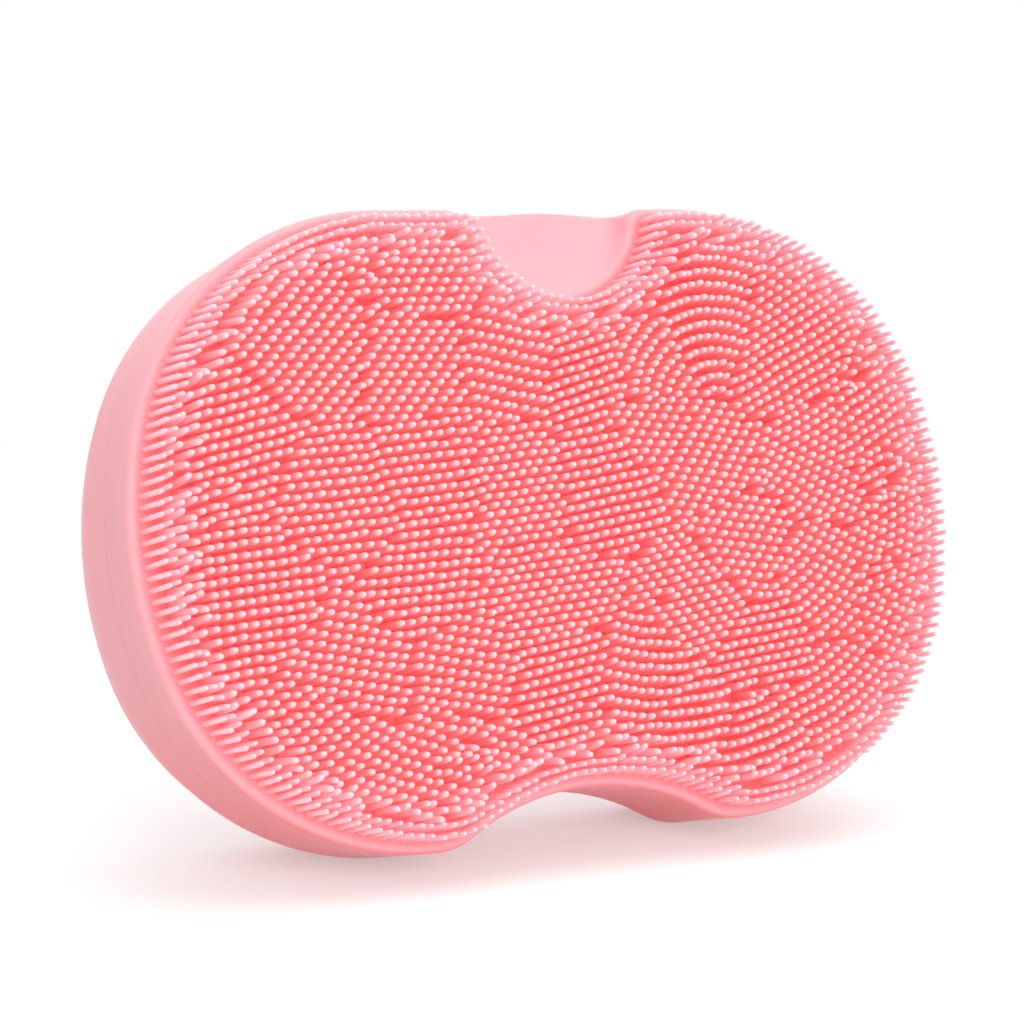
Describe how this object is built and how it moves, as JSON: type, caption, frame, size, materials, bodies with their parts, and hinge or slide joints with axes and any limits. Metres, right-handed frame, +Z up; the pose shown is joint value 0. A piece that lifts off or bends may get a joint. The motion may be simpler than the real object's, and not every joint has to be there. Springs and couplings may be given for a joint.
{
  "type": "facial cleansing brush",
  "caption": "Peanut-shaped silicone face brush with a dense bristle face, thumb scoop and drafted back holding a vibration motor, battery, push button and charging contacts.",
  "frame": {"origin": "centre of the bounding box in plan, on the floor that the brush stands on", "axes": "+X along the brush's long side, -Y towards the bristle face, +Z up; the face leans back 14 degrees"},
  "size_m": [0.084, 0.0384, 0.0601],
  "materials": {
    "pink_silicone": "soft satin silicone",
    "bristle_silicone": "soft satin silicone, fine moulded bristles",
    "white_shell": "fine moulded satin",
    "grey_rubber": "matt rubber",
    "screw_steel": "plated",
    "motor_steel": "drawn steel",
    "magnet": "sintered, dark grey",
    "black_plastic": "fine moulded matt",
    "contact_gold": "gold plated",
    "battery_foil": "laminated foil pouch",
    "foam_tape": "white foam",
    "board_green": "solder mask",
    "board_part": "ceramic",
    "led_lens": "clear epoxy",
    "clear_plastic": "frosted clear plastic",
    "grey_plastic": "fine moulded matt",
    "red_lead": "wire insulation",
    "black_lead": "wire insulation",
    "armature_iron": "laminated iron",
    "weight_metal": "sintered tungsten alloy",
    "button_plastic": "fine moulded satin"
  },
  "bodies": {
    "body": {"brush_skin": "pink_silicone", "bristle_field": "bristle_silicone", "grip_skin": "pink_silicone", "front_shell": "white_shell", "shell_gasket": "grey_rubber", "rear_shell": "white_shell", "shell_screws": "screw_steel", "motor_can": "motor_steel", "motor_magnet": "magnet", "motor_end_cap": "black_plastic", "motor_terminals": "contact_gold", "motor_sleeve": "grey_rubber", "motor_bracket": "white_shell", "bracket_screws": "screw_steel", "battery_cell": "battery_foil", "battery_tape": "foam_tape", "battery_guard_board": "board_green", "circuit_board": "board_green", "board_screws": "screw_steel", "control_chip": "black_plastic", "board_parts": "board_part", "power_switch": "black_plastic", "status_led": "led_lens", "button_seal": "grey_rubber", "light_guide": "clear_plastic", "contact_block": "grey_plastic", "charging_pins": "contact_gold", "motor_lead_red": "red_lead", "motor_lead_black": "black_lead", "battery_lead_red": "red_lead", "battery_lead_black": "black_lead"},
    "rotor": {"motor_shaft": "screw_steel", "armature": "armature_iron", "eccentric_weight": "weight_metal"},
    "button": {"power_button": "button_plastic", "switch_plunger": "black_plastic"}
  },
  "joints": [
    {"name": "motor_spin", "type": "hinge", "parent": "body", "child": "rotor", "pos_m": [0.0187, 0.00153, 0.02731], "axis": [0, 0.2419, 0.9703], "continuous": true},
    {"name": "button_press", "type": "slide", "parent": "body", "child": "button", "axis": [0, -0.9703, 0.2419], "range_m": [0, 0.0005], "stiffness_N_per_m": 1500}
  ]
}
